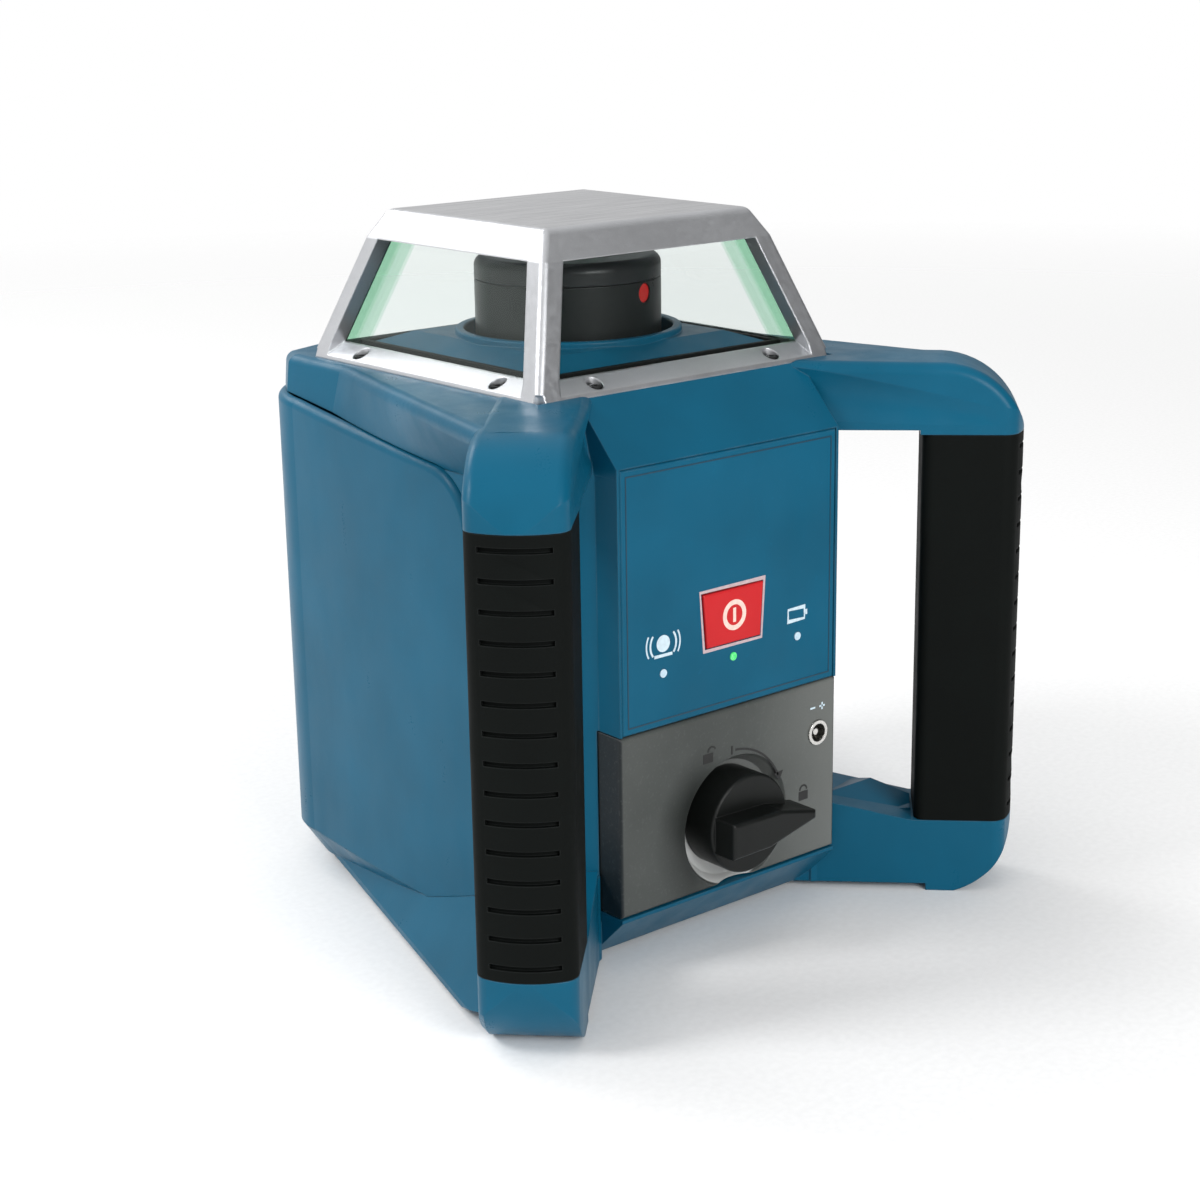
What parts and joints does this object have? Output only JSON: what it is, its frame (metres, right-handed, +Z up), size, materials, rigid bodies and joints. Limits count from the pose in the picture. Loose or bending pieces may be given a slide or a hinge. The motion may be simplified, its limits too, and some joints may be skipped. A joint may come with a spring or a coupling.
{
  "type": "rotating laser level",
  "caption": "Rotating laser level: spinning beam head under a glazed guard, self-levelling gimbal, side handles, power button and locking battery drawer over a tripod thread.",
  "frame": {"origin": "centre of the tripod thread's mouth, on the rotor's axis, in the plane of the feet", "axes": "+Z up along the rotor's axis, -Y out of the control panel, +X to the right of a person facing the panel"},
  "size_m": [0.1836, 0.17, 0.188],
  "materials": {
    "case_blue": "satin moulded plastic, fine grain",
    "panel_blue": "smooth satin panel",
    "drawer_grey": "dark grey moulded plastic, fine grain",
    "grip_rubber": "black moulded rubber",
    "seal_rubber": "black seal rubber",
    "cast_silver": "silver painted cast metal, fine grain",
    "pane_glass": "clear float glass with green edges",
    "screw_steel": "bright steel",
    "pin_steel": "ground steel",
    "insert_brass": "turned brass",
    "button_red": "satin red",
    "led_green": "tinted clear lens",
    "board_green": "solder mask",
    "inner_plastic": "black moulded plastic",
    "chassis_metal": "mill finish",
    "motor_metal": "drawn steel can",
    "contact_metal": "nickel plated",
    "battery_can": "printed sleeve on a metal can",
    "rotor_black": "satin dark plastic",
    "rotor_cap_grey": "satin grey plastic",
    "window_red": "red filter glass",
    "optic_glass": "polished optical glass",
    "vial_glass": "clear tube with tinted liquid",
    "belt_rubber": "smooth black rubber"
  },
  "bodies": {
    "housing": {"base_frame": "case_blue", "rear_case": "case_blue", "front_case": "case_blue", "control_panel": "panel_blue", "collar_plate": "case_blue", "guard_frame": "cast_silver", "guard_gasket": "seal_rubber", "guard_screws": "screw_steel", "base_screws": "screw_steel", "tripod_insert": "insert_brass", "glass_front": "pane_glass", "glass_right": "pane_glass", "glass_back": "pane_glass", "glass_left": "pane_glass", "handle_core_right": "inner_plastic", "handle_core_left": "inner_plastic", "grip_right": "grip_rubber", "grip_left": "grip_rubber", "led_lenses": "led_green", "main_board": "board_green", "tact_switch": "inner_plastic", "chassis_plate": "chassis_metal", "battery_bay": "inner_plastic", "bay_contacts": "contact_metal", "gimbal_bracket": "chassis_metal", "outer_pivot_pins": "pin_steel", "levelling_motor_x": "motor_metal"},
    "levelling_x": {"levelling_nut_x": "insert_brass"},
    "button": {"power_button": "button_red"},
    "drawer": {"drawer_front": "drawer_grey", "drawer_seal": "seal_rubber", "battery_tray": "inner_plastic", "battery_left": "battery_can", "battery_right": "battery_can", "contact_springs": "contact_metal", "charge_jack": "contact_metal"},
    "lock": {"lock_knob": "drawer_grey", "knob_shaft": "pin_steel", "latch_cam": "chassis_metal", "shaft_clip": "pin_steel"},
    "gimbal_outer": {"outer_ring": "chassis_metal", "inner_pivot_pins": "pin_steel", "levelling_motor_y": "motor_metal"},
    "levelling_y": {"levelling_nut_y": "insert_brass"},
    "gimbal_inner": {"optics_carrier": "chassis_metal", "laser_module": "insert_brass", "collimator_lens": "optic_glass", "vial_cradle": "inner_plastic", "tilt_vials": "vial_glass", "lower_bearing": "pin_steel", "upper_bearing": "pin_steel", "spin_motor": "motor_metal", "drive_belt": "belt_rubber"},
    "pulley": {"motor_pulley": "insert_brass"},
    "rotor": {"rotor_hub": "rotor_black", "rotor_shell": "rotor_black", "rotor_cap": "rotor_cap_grey", "beam_window": "window_red", "prism_mount": "rotor_black", "beam_prism": "optic_glass"}
  },
  "joints": [
    {"name": "drawer_slide", "type": "slide", "parent": "housing", "child": "drawer", "axis": [0, -1, 0], "range_m": [0, 0.066]},
    {"name": "lock_turn", "type": "hinge", "parent": "drawer", "child": "lock", "pos_m": [0, -0.062, 0.034], "axis": [0, -1, 0], "range_deg": [0, 110]},
    {"name": "button_press", "type": "slide", "parent": "housing", "child": "button", "axis": [0, 1, 0], "range_m": [0, 0.001], "stiffness_N_per_m": 400},
    {"name": "tilt_x", "type": "hinge", "parent": "housing", "child": "gimbal_outer", "pos_m": [0, 0, 0.139], "axis": [1, 0, 0], "range_deg": [-4.6, 4.6]},
    {"name": "tilt_y", "type": "hinge", "parent": "gimbal_outer", "child": "gimbal_inner", "pos_m": [0, 0, 0.139], "axis": [0, 1, 0], "range_deg": [-4.6, 4.6]},
    {"name": "nut_x_travel", "type": "slide", "parent": "housing", "child": "levelling_x", "axis": [0, 0, 1], "range_m": [-0.0038, 0.0038]},
    {"name": "nut_y_travel", "type": "slide", "parent": "gimbal_outer", "child": "levelling_y", "axis": [0, 0, 1], "range_m": [-0.0021, 0.0021]},
    {"name": "rotor_spin", "type": "hinge", "parent": "gimbal_inner", "child": "rotor", "pos_m": [0, 0, 0.139], "axis": [0, 0, 1], "continuous": true},
    {"name": "pulley_spin", "type": "hinge", "parent": "gimbal_inner", "child": "pulley", "pos_m": [0.023, 0, 0.146], "axis": [0, 0, 1], "continuous": true}
  ],
  "couplings": [
    {"joint": "nut_x_travel", "follows": "tilt_x", "m_per_rad": 0.046},
    {"joint": "nut_y_travel", "follows": "tilt_y", "m_per_rad": 0.025},
    {"joint": "pulley_spin", "follows": "rotor_spin", "ratio": 4.636}
  ]
}
